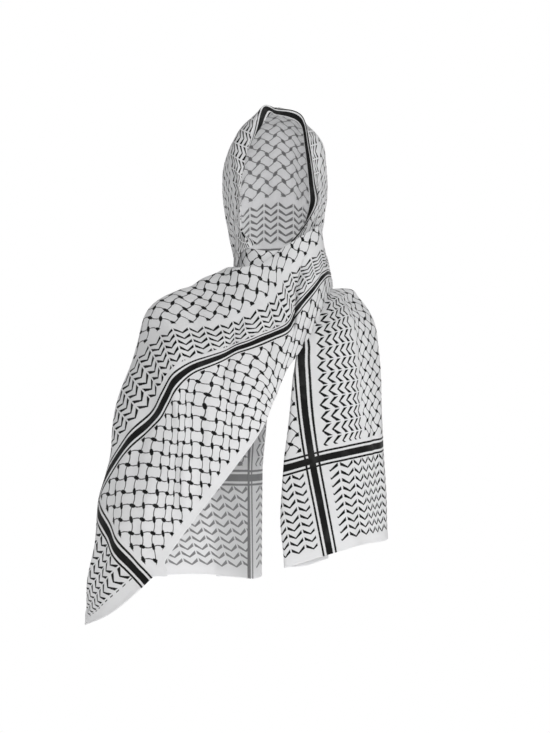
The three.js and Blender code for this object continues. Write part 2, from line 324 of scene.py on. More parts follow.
# ---- meshes of thin cloth
def thin_shell(name: str, surface: Surface, edges: Sequence[Edge]) -> bpy.types.Object:
    """Closed thin cloth on both sides of a surface, with a rounded edge.

    Args:
        name: name of the object.
        surface: middle of the cloth.
        edges: how the first row, last row, first column and last column end.

    Returns:
        The object, with the printed side in material slot 0 and the reverse in slot 1.
    """
    rows, columns = surface.place.shape[:2]
    normal = surface.normals()
    half = np.full((rows, columns), CLOTH_HALF)
    row_in, column_in = surface.walk_rows, surface.walk_columns
    reach = [row_in[:, None], (row_in[-1] - row_in)[:, None],
             column_in[None, :], (column_in[-1] - column_in)[None, :]]
    for edge, distance in zip(edges, reach):
        if edge is Edge.ROLLED:
            roll = CLOTH_HALF + (HEM_HALF - CLOTH_HALF) * np.exp(-((distance / HEM_REACH) ** 2))
            half = np.maximum(half, roll)
    front = surface.place + normal * half[..., None]
    back = surface.place - normal * half[..., None]

    ring = ([(0, j) for j in range(columns)] + [(i, columns - 1) for i in range(1, rows)]
            + [(rows - 1, j) for j in range(columns - 2, -1, -1)]
            + [(i, 0) for i in range(rows - 2, 0, -1)])
    ring_i, ring_j = np.array(ring).T
    inner_i, inner_j = np.clip(ring_i, 1, rows - 2), np.clip(ring_j, 1, columns - 2)
    out = surface.place[ring_i, ring_j] - surface.place[inner_i, inner_j]
    out /= np.maximum(np.linalg.norm(out, axis=1, keepdims=True), 1e-9)
    lip = surface.place[ring_i, ring_j] + out * half[ring_i, ring_j][:, None]

    points = np.concatenate([front.reshape(-1, 3), back.reshape(-1, 3), lip]) * METRE
    index = np.arange(rows * columns).reshape(rows, columns)
    a, b, c, d = index[:-1, :-1], index[:-1, 1:], index[1:, 1:], index[1:, :-1]
    front_quads = np.stack([a, b, c, d], axis=-1).reshape(-1, 4)
    back_quads = np.stack([a, d, c, b], axis=-1).reshape(-1, 4) + rows * columns
    around = index[ring_i, ring_j]
    after = np.roll(around, -1)
    lips = 2 * rows * columns + np.arange(len(ring))
    lips_after = np.roll(lips, -1)
    front_lip = np.stack([around, lips, lips_after, after], axis=-1)
    back_lip = np.stack([around + rows * columns, after + rows * columns, lips_after, lips], axis=-1)
    sides = (front_quads, back_quads, front_lip, back_lip)
    quads = np.concatenate(sides)

    flat = surface.flat.reshape(-1, 2) * METRE
    cloth_uv = np.concatenate([flat, flat, flat[around]])
    moved = np.zeros((rows, columns)) if surface.hidden is None else surface.hidden
    moved = np.concatenate([moved.ravel(), moved.ravel(), moved.ravel()[around]]) * METRE
    beyond = surface.beyond
    if beyond is None:
        beyond = np.zeros((rows - 1, columns - 1), dtype=bool)
    lip_i = np.minimum(np.minimum(ring_i, np.roll(ring_i, -1)), rows - 2)
    lip_j = np.minimum(np.minimum(ring_j, np.roll(ring_j, -1)), columns - 2)
    at_lip = beyond[lip_i, lip_j]
    tucked = np.concatenate([beyond.ravel(), beyond.ravel(), at_lip, at_lip])
    u = surface.walk_columns / surface.walk_columns[-1]
    v = surface.walk_rows / surface.walk_rows[-1]
    # the printed side takes the left half of the baked picture and the reverse the right half
    middle = np.array([0.25, 0.5])
    share = np.stack(np.broadcast_arrays(u[None, :], v[:, None]), axis=-1)
    chart = CHART_MARGIN + share * (middle - CHART_MARGIN) * 2
    lip_chart = middle + (chart[ring_i, ring_j] - middle) * (1 + CHART_MARGIN)
    bake_front = np.concatenate([chart.reshape(-1, 2), chart.reshape(-1, 2), lip_chart])
    bake_back = bake_front + np.array([0.5, 0.0])

    mesh = bpy.data.meshes.new(name)
    mesh.from_pydata(points.tolist(), [], quads.tolist(), shade_flat=False)
    slots = np.repeat((0, 1, 0, 1), [len(side) for side in sides]).astype(np.int32)
    mesh.polygons.foreach_set("material_index", slots)
    corner = quads.ravel()
    on_back = np.repeat(slots == 1, 4)
    bake = np.where(on_back[:, None], bake_back[corner], bake_front[corner])
    layer = mesh.uv_layers.new(name="OFBake")
    layer.data.foreach_set("uv", bake.ravel())
    layer = mesh.uv_layers.new(name="cloth")
    cloth = cloth_uv[corner]
    cloth[:, 1] += moved[corner] * np.repeat(tucked, 4)
    layer.data.foreach_set("uv", cloth.ravel())
    mesh.update()
    piece = bpy.data.objects.new(name, mesh)
    bpy.context.scene.collection.objects.link(piece)
    return piece


# ---- shader maths
Number = Union["Wire", float, int]


def operator(operation: str, reflected: bool = False) -> Callable[["Wire", Number], "Wire"]:
    """Makes the method that stands for a sign between two numbers.

    Args:
        operation: operation of the Math node.
        reflected: whether the wire is the second number.

    Returns:
        The method.
    """
    def method(wire: "Wire", other: Number) -> "Wire":
        """Adds the Math node."""
        return wire.bench.math(operation, *((other, wire) if reflected else (wire, other)))
    return method


class Wire:
    """A number that runs through a shader, with the usual sums."""

    __add__, __radd__ = operator("ADD"), operator("ADD", True)
    __sub__, __rsub__ = operator("SUBTRACT"), operator("SUBTRACT", True)
    __mul__, __rmul__ = operator("MULTIPLY"), operator("MULTIPLY", True)
    __truediv__ = operator("DIVIDE")
    # the larger and the smaller of two numbers or masks
    __or__, __and__ = operator("MAXIMUM"), operator("MINIMUM")

    def __init__(self, bench: "Bench", socket: bpy.types.NodeSocket) -> None:
        """Wraps a socket of a bench's tree."""
        self.bench = bench
        self.socket = socket

    def __abs__(self) -> "Wire":
        """Size of self without its sign."""
        return self.bench.math("ABSOLUTE", self)

    def rounded(self) -> "Wire":
        """The nearest whole number."""
        return self.bench.math("ROUND", self)

    def fraction(self) -> "Wire":
        """What is left over a whole number."""
        return self.bench.math("FRACT", self)

    def below(self, limit: Number, blur: float = PRINT_BLUR) -> "Wire":
        """Mask that is 1 below a limit and 0 above it, with a soft edge."""
        room = self.bench.math("SUBTRACT", limit, self)
        return self.bench.math("MULTIPLY_ADD", room, 1.0 / blur, 0.5, clamp=True)

    def within(self, middle: float, half: float, blur: float = PRINT_BLUR) -> "Wire":
        """Mask that is 1 up to half a width from a middle."""
        return abs(self - middle).below(half, blur)


class Bench:
    """A node tree, with one way of making each kind of node."""

    def __init__(self, owner: Union[bpy.types.Material, bpy.types.World]) -> None:
        """Empties the tree of a material or a world."""
        owner.use_nodes = True
        self.owner, self.tree = owner, owner.node_tree
        self.tree.nodes.clear()

    def node(self, kind: str, settings: dict[str, Any] | None = None,
             sockets: dict[Union[str, int], Any] | None = None) -> bpy.types.Node:
        """Makes a node.

        Args:
            kind: type of the node.
            settings: what the node is set to before its sockets.
            sockets: values or links of its inputs, by name or number.

        Returns:
            The node.
        """
        made = self.tree.nodes.new(kind)
        for key, value in (settings or {}).items():
            setattr(made, key, value)
        for key, value in (sockets or {}).items():
            if isinstance(value, Wire):
                value = value.socket
            if isinstance(value, bpy.types.NodeSocket):
                self.tree.links.new(value, made.inputs[key])
            else:
                made.inputs[key].default_value = value
        return made

    def math(self, operation: str, *terms: Number, clamp: bool = False) -> Wire:
        """Makes a Math node and returns its result."""
        made = self.node("ShaderNodeMath", {"operation": operation, "use_clamp": clamp},
                         dict(enumerate(terms)))
        return Wire(self, made.outputs[0])

    def blend(self, share: Number, low: Any, high: Any) -> bpy.types.NodeSocket:
        """Mixes two colours and returns the colour."""
        made = self.node("ShaderNodeMix", {"data_type": "RGBA"}, {0: share, 6: low, 7: high})
        return made.outputs[2]


# ---- finishes
@dataclass(frozen=True)
class KeffiyehPrint:
    """Sizes of the printed netting, chevrons and bands, in millimetres of flat cloth."""

    thick_line: float = 11.4
    thin_line: float = 3.4
    line_gap: float = 3.6
    net_side: float = 20.0
    net_thread: float = 1.6
    net_bow: float = 0.105
    knot_long: float = 12.0
    knot_wide: float = 6.2
    knot_blur: float = 0.35
    net_spare: float = 1.9
    border_start: float = 15.5
    border_cells: int = 11
    centre_cells: int = 16
    body_start: float = 208.4
    end_stretch: float = 1.13
    chevron_first: float = 214.5
    chevron_pitch: float = 12.6
    chevron_rows: int = 6
    chevron_period: float = 25.0
    chevron_rise: float = 9.6
    chevron_spare: float = 1.5
    dash_tip: float = 1.5
    dash_swell: float = 1.9
    dash_end: float = 0.9
    dash_end_blur: float = 0.07
    end_first: float = 25.0
    end_pitch: float = 15.6
    end_rows: int = 10
    end_spare: float = -1.0
    band_clear: tuple[float, float] = (190.5, 20.5)
    margin: float = 22.0

    def band(self, place: Wire, stretch: float) -> Wire:
        """Lines of a band, thin, thick and thin, stretched by a factor."""
        off = abs(place - BAND_MIDDLE) / stretch
        thin_middle = self.thick_line / 2 + self.line_gap + self.thin_line / 2
        return (off.below(self.thick_line / 2, LINE_BLUR)
                | off.within(thin_middle, self.thin_line / 2, LINE_BLUR))

    def chevrons(self, place: Wire, running: Wire, first: float, pitch: float, rows: int,
                 stretch: float = 1.0) -> Wire:
        """Rows of zigzags made of slanted dashes.

        Args:
            place: distance over the rows.
            running: distance along the rows.
            first: place of the first row's middle.
            pitch: distance between two rows.
            rows: how many rows there are.
            stretch: how far the dashes are drawn out over the rows.

        Returns:
            The mask of the dashes.
        """
        swing = abs((running / self.chevron_period).fraction() * 2.0 - 1.0)
        row = (place - first - (swing - 0.5) * (self.chevron_rise * stretch)) / pitch
        nearest = (row.rounded() & (rows - 1.0)) | 0.0
        off = abs(row - nearest) * (pitch / stretch)
        return off.below(swing * self.dash_swell + self.dash_tip) & swing.below(
            self.dash_end, self.dash_end_blur)

    def netting(self, along: Wire, across: Wire, start: float) -> Wire:
        """Net of slanted threads with a dash at each knot.

        Args:
            along: distance from the hem.
            across: distance from the selvage.
            start: across of a row of knots.

        Returns:
            The mask of the threads and knots.
        """
        turn = self.net_side * math.sqrt(2.0)
        rising = (along + (across - start)) / turn
        falling = (along - (across - start)) / turn
        n, m = rising.rounded(), falling.rounded()
        off_n, off_m = rising - n, falling - m
        bench = along.bench
        odd_n = abs((n * 0.5).fraction() * 2.0)
        odd_m = abs((m * 0.5).fraction() * 2.0)
        wave_m = bench.math("SINE", off_m * math.pi) * (1.0 - odd_m * 2.0)
        wave_n = bench.math("SINE", off_n * math.pi) * (1.0 - odd_n * 2.0)
        bow_n = off_n + wave_m * (1.0 - odd_n * 2.0) * self.net_bow
        bow_m = off_m - wave_n * (1.0 - odd_m * 2.0) * self.net_bow
        thread = ((abs(bow_n) & abs(bow_m)) * self.net_side).below(self.net_thread / 2)
        odd = abs(odd_n - odd_m)
        over = bow_n + (bow_m - bow_n) * odd
        lengthwise = bow_m + (bow_n - bow_m) * odd
        reach = (bench.math("POWER", abs(over) * (self.net_side / (self.knot_wide / 2)), 2.0)
                 + bench.math("POWER", abs(lengthwise) * (self.net_side / (self.knot_long / 2)), 2.0))
        return thread | reach.below(1.0, self.knot_blur)

    def mask(self, along: Wire, across: Wire) -> Wire:
        """Where the print lies.

        Args:
            along: distance from a hem, in millimetres.
            across: distance from a selvage, in millimetres.

        Returns:
            1 on the print and 0 between.
        """
        edge, end = across & (SCARF_WIDTH - across), along & (SCARF_LENGTH - along)
        bands = self.band(edge, 1.0) | self.band(end, self.end_stretch)
        half_row = self.net_side / math.sqrt(2.0) / 2
        border_half, centre_half = self.border_cells * half_row, self.centre_cells * half_row
        border = self.netting(along, edge, self.border_start) & edge.within(
            self.border_start + border_half, border_half + self.net_spare)
        centre = self.netting(along, across, SCARF_WIDTH / 2 - centre_half) & across.within(
            SCARF_WIDTH / 2, centre_half + self.net_spare)
        strip_rows = (self.chevron_first, self.chevron_pitch, self.chevron_rows)
        strip = self.chevrons(edge, along, *strip_rows) & self.beside_rows(
            edge, *strip_rows, self.chevron_spare)
        end_rows = (self.end_first, self.end_pitch, self.end_rows)
        tips = self.chevrons(end, across, *end_rows, self.end_stretch) & self.beside_rows(
            end, *end_rows, self.end_spare)
        bare = edge.within(*self.band_clear) | edge.below(self.margin)
        body = 1.0 - end.below(self.body_start)
        return bands | (body & (border | centre | strip)) | (tips & (1.0 - bare))

    def beside_rows(self, place: Wire, first: float, pitch: float, rows: int, spare: float) -> Wire:
        """Mask of the strip that rows of chevrons lie in, wider than they are by a spare width."""
        return place.within(first + (rows - 1) * pitch / 2, rows * pitch / 2 + spare)


@dataclass(frozen=True)
class PrintedChiffon:
    """White chiffon with a black print that shows fainter on the reverse."""

    cloth: Point = (0.83, 0.83, 0.835)
    ink: Point = (0.006, 0.006, 0.006)
    reverse_ink: Point = (0.32, 0.32, 0.325)
    sheerness: float = 0.4
    uneven: float = 0.10        # how much the tone and the ink vary
    bleed: float = 0.9          # how far the print's edges wander, in millimetres
    thread_pitch: float = 0.72  # one thread to the next, in millimetres
    slub_scale: float = 26.0    # soft patches to the metre
    grain_scale: float = 420.0  # fine grains to the metre
    grain: float = 1.4          # how far the grain stands over the threads
    relief: float = 0.00012     # height of a thread, in metres
    roughness: float = 0.82
    ink_gloss: float = 0.12
    pattern: KeffiyehPrint = KeffiyehPrint()

    def material(self, side: Side) -> bpy.types.Material:
        """Makes the finish of one side.

        Args:
            side: face of the cloth.

        Returns:
            The material.
        """
        bench = Bench(bpy.data.materials.new("chiffon_" + side.value))
        chart = bench.node("ShaderNodeUVMap", {"uv_map": "cloth"})
        split = bench.node("ShaderNodeSeparateXYZ", None, {0: chart.outputs["UV"]})
        along = Wire(bench, split.outputs[0]) * 1000.0
        across = Wire(bench, split.outputs[1]) * 1000.0
        place = bench.node("ShaderNodeTexCoord").outputs["Object"]
        slub = bench.node("ShaderNodeTexNoise", None, {
            "Vector": place, "Scale": self.slub_scale, "Detail": 3.0, "Roughness": 0.6}).outputs[0]
        bleed = bench.node("ShaderNodeTexNoise", None,
                           {"Vector": place, "Scale": self.grain_scale, "Detail": 2.0}).outputs[0]
        wander = (Wire(bench, bleed) - 0.5) * self.bleed
        printed = self.pattern.mask(along + wander, across + wander)
        density = 1.0 + (Wire(bench, slub) - 0.5) * self.uneven
        tone = 1.0 - (Wire(bench, slub) - 0.5) * self.uneven
        plain = bench.node("ShaderNodeVectorMath", {"operation": "SCALE"},
                           {0: self.cloth, 3: tone}).outputs[0]
        ink = self.ink if side is Side.RIGHT else self.reverse_ink
        # light from behind takes the cloth's tint, and the ink lets only a part of it by
        let_by = sum(ink) / sum(self.cloth)
        in_front = (1.0 - self.sheerness) / (1.0 - self.sheerness * let_by)
        cover = bench.math("MULTIPLY", printed, density, clamp=True)
        colour = bench.blend(cover, plain, (*(part * in_front for part in ink), 1.0))
        turn = 2.0 * math.pi / self.thread_pitch
        warp, weft = bench.math("SINE", along * turn), bench.math("SINE", across * turn)
        weave = warp * weft * 0.5 + (Wire(bench, bleed) - 0.5) * self.grain
        bump = bench.node("ShaderNodeBump", None,
                          {"Strength": 0.35, "Distance": self.relief, "Height": weave})
        surface = bench.node("ShaderNodeBsdfPrincipled", None, {
            "Base Color": colour, "Roughness": self.roughness - printed * self.ink_gloss,
            "Normal": bump.outputs[0], "Specular IOR Level": 0.12, "Sheen Weight": 0.05, "Sheen Roughness": 0.5})
        through_cloth = bench.node("ShaderNodeBsdfTranslucent", None, {0: (*self.cloth, 1.0)})
        sheer = bench.node("ShaderNodeMixShader", None, {
            0: (1.0 - cover * (1.0 - let_by)) * self.sheerness,
            1: surface.outputs[0], 2: through_cloth.outputs[0]})
        bench.node("ShaderNodeOutputMaterial", None, {0: sheer.outputs[0]})
        return bench.owner


@dataclass(frozen=True)
class PaleStudio:
    """Plain pale paint of the floor."""

    tint: Point = (0.92, 0.92, 0.92)
    glow: float = 0.5

    def material(self) -> bpy.types.Material:
        """Makes the floor's finish."""
        bench = Bench(bpy.data.materials.new("studio_floor"))
        surface = bench.node("ShaderNodeBsdfPrincipled", None, {
            "Base Color": (*self.tint, 1.0), "Roughness": 0.95,
            "Emission Color": WHITE, "Emission Strength": self.glow})
        bench.node("ShaderNodeOutputMaterial", None, {0: surface.outputs[0]})
        return bench.owner


# ---- stretches of the scarf
@dataclass(frozen=True)
class Cut:
    """A stretch as it is cut and dressed. The flat size is in metres."""

    name: str
    nodes: tuple[str, ...]
    flat: tuple[float, float]
    area: float
    held: str
    rests_on: tuple[str, ...]
    edges: tuple[Edge, ...]
    waves: float
    seed: int


@dataclass(frozen=True)
class Stretch:
    """What every stretch of the scarf shares. The creases are tables of Crease's own columns."""

    cut: Cut
    creases: Rows

    def surface(self, step: float) -> Surface:
        """Middle of the cloth before its creases."""
        raise NotImplementedError

    def build(self, step: float, finishes: Sequence[bpy.types.Material]) -> bpy.types.Object:
        """Makes and dresses the stretch.

        Args:
            step: widest distance between two points of the mesh, in millimetres.
            finishes: materials of the printed side and the reverse.

        Returns:
            The piece.
        """
        cut = self.cut
        creases = [Crease(*row) for row in self.creases]
        surface = draped(self.surface(step), creases, cut.waves, cut.seed)
        piece = thin_shell(cut.name, surface, cut.edges)
        for finish in finishes:
            piece.data.materials.append(finish)
        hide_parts(*cut.nodes)
        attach(piece, "root")
        LOG.info("%s: %d faces", cut.name, len(piece.data.polygons))
        return piece


@dataclass(frozen=True)
class LeftTail(Stretch):
    """From the right cheek across the chest, over the left shoulder and round to the back."""

    cut: Cut = Cut("left_tail_cloth", ("left_tail",), (0.55, 0.90), 0.353, "draped", ("head",),
                   (Edge.ROLLED, Edge.PLAIN, Edge.PLAIN, Edge.ROLLED), 1.0, 31)
    creases: Rows = (
        (689, 150, 762, 290, 8, -6), (692, 168, 760, 288, 4.2, -9, 0.35), (452, 204, 712, 204, 3.4, 2),
        (452, 200, 330, 20, 16, 9), (470, 215, 470, 330, 14, 6), (640, 120, 560, 20, 16, -5),
        (300, 330, 120, 360, 26, -6), (330, 470, 60, 400, 24, 7),
        # gathers below the right cheek
        (770, 290, 730, 218, 5, -5, 0.4), (730, 218, 689, 160, 5, -5, 0.4),
        (804, 118, 726, 22, 6, -4.5, 0.3), (781, 150, 712, 64, 5, -4, 0.3), (762, 46, 712, 6, 6, 3.5),
        (744, 150, 698, 96, 4.5, -3, 0.3), (835, 240, 783, 190, 6, -3, 0.3),
        (822, 60, 760, 8, 6, -3, 0.3),
        # long folds from the left shoulder over the chest
        (600, 300, 470, 30, 12, -3.6, 0.3, 5), (656, 300, 600, 60, 10, -3, 0.3, 4),
        (540, 400, 500, 230, 12, -3.4, 0.3), (500, 150, 400, 8, 12, 4),
        (420, 250, 250, 110, 13, -4, 0.3), (380, 340, 210, 200, 15, -4.5, 0.3),
        (470, 170, 300, 40, 13, -3, 0.3, 7), (395, 175, 330, 95, 12, 2, 0, 5),
        (330, 120, 190, 20, 11, 3.4), (250, 150, 60, 30, 15, -4, 0.3, 5), (170, 130, 20, 60, 12, 3.2),
        (560, 180, 470, 110, 8, -2.2, 0.3),
        # folds round the arm and on the back
        (540, 440, 300, 400, 16, 4, 0.3), (460, 500, 200, 455, 15, -4), (610, 400, 440, 335, 26, 6),
        (575, 405, 455, 380, 20, 9), (420, 430, 110, 370, 14, -4.5, 0.3),
        (240, 300, 30, 280, 16, -5, 0.3), (300, 520, 40, 430, 10, 2.4),
        (180, 420, 10, 395, 12, -4, 0.3),
    )
    # along, selvage, border, band, net, side, back, edge, edge_across, first_across
    rows: Rows = (
        (0, (-333, -10, -926), (-325, 58, -890), (-268, 102, -846), (-200, 118, -836),
         (-117, 122, -834), (-78, 120, -838), (-41, 114, -841), 425, 0),
        (95, (-288, -50, -906), (-324, 15, -838), (-294, 82, -788), (-222, 112, -758),
         (-144, 122, -751), (-90, 121, -752), (-41, 116, -752), 453, 0),
        (187, (-222, -96, -850), (-284, -44, -776), (-309, 50, -706), (-246, 105, -680),
         (-171, 122, -666), (-105, 122, -662), (-41, 116, -662), 481, 0),
        (303, (-155, -105, -761), (-207, -95, -675), (-256, -50, -598), (-283, 20, -554),
         (-234, 85, -549), (-130, 118, -543), (-41, 116, -540), 545, 0),
        (374, (-113, -112, -706), (-160, -112, -621), (-202, -92, -541), (-252, -10, -475),
         (-234, 55, -464), (-140, 108, -468), (-45, 116, -472), 547, 0),
        (452, (-68, -116, -648), (-115, -118, -562), (-166, -103, -479), (-193, -69, -409),
         (-216, -5, -362), (-155, 85, -380), (-58, 114, -398), 570, 0),
        (560, (-9, -113, -563), (-36, -118, -495), (-68, -110, -434), (-83, -92, -388),
         (-103, -50, -331), (-117, 0, -310), (-90, 72, -335), 497, 22),
        (590, (2, -112, -536), (-20, -116, -477), (-41, -109, -423), (-55, -95, -380),
         (-76, -66, -324), (-88, -20, -293), (-80, 30, -292), 450, 52),
        (620, (11, -110, -517), (4, -114, -464), (-13, -107, -410), (-27, -97, -368),
         (-45, -80, -315), (-59, -66, -287), (-56, -60, -283), 367, 88),
        (671, (31, -106, -466), (34, -108, -425), (34, -104, -389), (14, -95, -337),
         (0, -86, -300), (-6, -81, -284), (-11, -76, -274), 344, 108),
        (712, (56, -100, -430), (54, -99, -398), (50, -95, -356), (31, -89, -304), (25, -86, -284),
         (23, -82, -265), (23, -76, -248), 333, 113),
        (757, (79, -92, -392), (79, -87, -358), (76, -78, -324), (61, -80, -281), (59, -82, -261),
         (56, -81, -245), (53, -80, -229), 332, 120),
        (812, (97, -60, -348), (98, -50, -320), (101, -40, -293), (96, -42, -252), (93, -44, -236),
         (90, -47, -221), (87, -50, -209), 322, 135),
        (855, (108, -26, -324), (107, -16, -308), (108, 8, -294), (99, 0, -252), (96, -8, -236),
         (93, -18, -221), (91, -28, -208), 322, 146),
        (897, (113, 16, -318), (112, 34, -306), (109, 54, -295), (99, 42, -252), (96, 29, -236),
         (94, 14, -220), (93, -2, -206), 322, 150),
    )
    # how much cloth the small tuck over the band takes up: along, hidden
    tuck: Rows = ((374, 0), (452, 8), (560, 24), (671, 24), (712, 10), (757, 0))
    tuck_start: float = 207.0
    # where the selvage flares beside the end band: along, reach along, reach across, and how far
    flare: Point = (221.0, 11.0, 34.0)
    flare_push: Point = (15.0, -2.0, -11.0)

    def surface(self, step: float) -> Surface:
        """Middle of the cloth before its creases."""
        knots = []
        for along, *cells, edge_across, first_across in self.rows:
            points = sight(np.array(cells, dtype=float))
            front = [0.0, BORDER_MIDDLE, BAND_MIDDLE]
            if first_across:
                front = pace(points[:3], first_across, BAND_MIDDLE)
            across = np.concatenate([front, pace(points[3:], NET_START, edge_across)])
            knots.append(np.column_stack([points, np.full(len(points), float(along)), across])[::-1])
        made = loft(np.array(knots), step)
        along, across = made.flat[..., 0], made.flat[..., 1]
        far = (NET_START - across) / (NET_START - self.tuck_start)
        made.hidden = np.interp(along, *zip(*self.tuck)) * np.clip(far, 0.0, 1.0)
        made.beyond = np.zeros((along.shape[0] - 1, along.shape[1] - 1), dtype=bool)
        made.beyond[:, :int(np.sum(across.mean(axis=0) > self.tuck_start))] = True
        middle, long, wide = self.flare
        flare = np.exp(-((along - middle) / long) ** 2) * np.clip(1.0 - across / wide, 0.0, 1.0) ** 2
        made.place = made.place + flare[..., None] * np.array(self.flare_push)
        return made


@dataclass(frozen=True)
class LeftTurn(Stretch):
    """Narrow pleat under the left tail's back edge."""

    cut: Cut = Cut("left_turn_cloth", ("left_tail_turn",), (0.15, 0.47), 0.064, "hung",
                   ("left_tail_cloth",), (Edge.ROLLED, Edge.PLAIN, Edge.PLAIN, Edge.PLAIN), 0.4, 47)
    creases: Rows = ((420, 300, 40, 296, 8, -2),)
    # along, tuck, front, fold_front, fold_back, behind, meets_edge
    rows: Rows = (
        (0, (-52, 120, -840), (-30, 118, -842), (-16, 115, -838), (-16, 126, -832),
         (-48, 134, -836), (-96, 137, -838)),
        (187, (-54, 122, -662), (-32, 119, -662), (-15, 116, -660), (-15, 127, -658),
         (-48, 136, -660), (-98, 139, -662)),
        (380, (-58, 122, -470), (-34, 119, -470), (-15, 115, -470), (-15, 126, -470),
         (-48, 133, -470), (-92, 136, -474)),
        (470, (-78, 121, -384), (-69, 121, -386), (-60, 119, -386), (-60, 126, -386),
         (-68, 130, -386), (-80, 131, -388)),
    )
    across: tuple[float, ...] = (172, 200, 232, 244, 276, 324)

    def surface(self, step: float) -> Surface:
        """Middle of the cloth before its creases."""
        knots = []
        for along, *cells in self.rows:
            points = sight(np.array(cells, dtype=float))
            row = np.column_stack([points, np.full(len(points), float(along)), np.array(self.across)])
            knots.append(row[::-1])
        return loft(np.array(knots), step)


@dataclass(frozen=True)
class RightTail(Stretch):
    """From under the chin over the right shoulder, with the border folded under at the front."""

    cut: Cut = Cut("right_tail_cloth", ("right_tail",), (0.64, 0.56), 0.215, "hung", ("head",),
                   (Edge.ROLLED, Edge.PLAIN, Edge.ROLLED, Edge.PLAIN), 0.9, 53)
    creases: Rows = (
        (560, 240, 440, 236, 12, -6), (540, 300, 380, 262, 12, 5), (180, 300, 10, 330, 26, -6),
        (400, 470, 20, 480, 28, -10), (420, 540, 20, 560, 26, 10),
        # folds from the shoulder down the front
        (500, 230, 368, 213, 5, -4, 0.3), (530, 262, 430, 246, 6, -3.4, 0.3),
        (490, 330, 250, 290, 13, -4.2, 0.3, 5), (440, 400, 200, 362, 14, 4.5),
        (350, 235, 120, 228, 11, 3), (260, 330, 60, 345, 12, -3.6, 0.3),
        (130, 240, 5, 250, 12, -3.6, 0.3), (515, 380, 420, 350, 9, -3.2, 0.3),
        # folds round the arm and on the back
        (470, 440, 240, 430, 13, -4.5, 0.3), (360, 520, 60, 515, 14, -5, 0.3),
        (300, 600, 30, 610, 12, -4, 0.3), (460, 570, 330, 560, 10, -3.5, 0.3),
    )
    # along, under, under_middle, fold, band, net, side, arm_back, back, back_edge,
    # fold_across, band_across
    rows: Rows = (
        (0, (104, -72, -806), (63, -75, -819), (24, -84, -822), (108, -96, -798), (182, -56, -778),
         (212, -5, -770), (186, 56, -770), (126, 94, -772), (60, 100, -776), 103, 187.5),
        (95, (110, -74, -722), (66, -77, -735), (17, -86, -737), (92, -98, -715), (174, -63, -696),
         (209, -10, -684), (180, 50, -682), (122, 95, -684), (60, 102, -688), 112, 187.5),
        (187, (112, -76, -641), (66, -79, -650), (22, -87, -645), (76, -99, -631),
         (165, -72, -611), (203, -15, -599), (178, 52, -596), (118, 95, -598), (62, 104, -602),
         133, 187.5),
        (280, (112, -79, -556), (76, -83, -556), (33, -89, -545), (63, -100, -542),
         (157, -79, -524), (199, -20, -513), (172, 45, -510), (118, 95, -512), (64, 104, -516),
         155, 187.5),
        (370, (112, -81, -470), (82, -84, -468), (42, -88, -462), (57, -97, -461),
         (148, -83, -445), (193, -22, -434), (167, 42, -430), (118, 90, -434), (68, 99, -440), 170,
         187.5),
        (440, (112, -74, -412), (86, -78, -410), (54, -80, -408), (64, -88, -406),
         (138, -72, -380), (181, -20, -370), (151, 36, -372), (114, 74, -388), (74, 88, -396), 182,
         196),
        (487, (108, -60, -378), (92, -64, -374), (70, -66, -372), (78, -72, -368),
         (125, -49, -348), (159, -9, -338), (136, 27, -355), (120, 66, -364), (90, 82, -380), 200,
         222),
        (519, (100, -44, -352), (94, -46, -348), (84, -46, -346), (90, -50, -342),
         (110, -32, -333), (136, -2, -321), (118, 18, -348), (116, 46, -353), (104, 68, -360), 215,
         236),
        (538, (98, -38, -346), (92, -40, -342), (82, -40, -340), (87, -44, -336), (97, -26, -329),
         (106, -2, -322), (110, 18, -345), (112, 46, -350), (102, 68, -357), 225, 245),
    )
    fold_shift: float = 3.0
    fold_turn: float = 5.0
    fold_half: float = 4.0
    back_edge_across: float = 640.0
    # the front stays flat until close to the arm, up to this far from the hem
    flat_until: float = 440.0
    lean_flat: Point = (0.64, 0.27, 0.5)
    lean_shoulder: Point = (0.55, 0.45, 0.45)

    def surface(self, step: float) -> Surface:
        """Middle of the cloth before its creases."""
        knots = []
        for along, *cells, fold_across, band_across in self.rows:
            under, middle, fold, *rest = sight(np.array(cells, dtype=float))
            behind, before = (fold + [self.fold_shift, turn, 0.0]
                              for turn in (self.fold_turn, -self.fold_turn))
            lean = self.lean_flat if along <= self.flat_until else self.lean_shoulder
            rest.insert(2, rest[1] + (rest[2] - rest[1]) * np.array(lean))
            outer = pace(np.array(rest), band_across, self.back_edge_across)
            outer[1] = NET_START
            inner = [0.0, fold_across / 2, fold_across - self.fold_half, fold_across + self.fold_half]
            across = np.concatenate([inner, outer])
            points = np.array([under, middle, behind, before, *rest])
            knots.append(np.column_stack([points, np.full(len(points), float(along)), across]))
        return loft(np.array(knots), step)


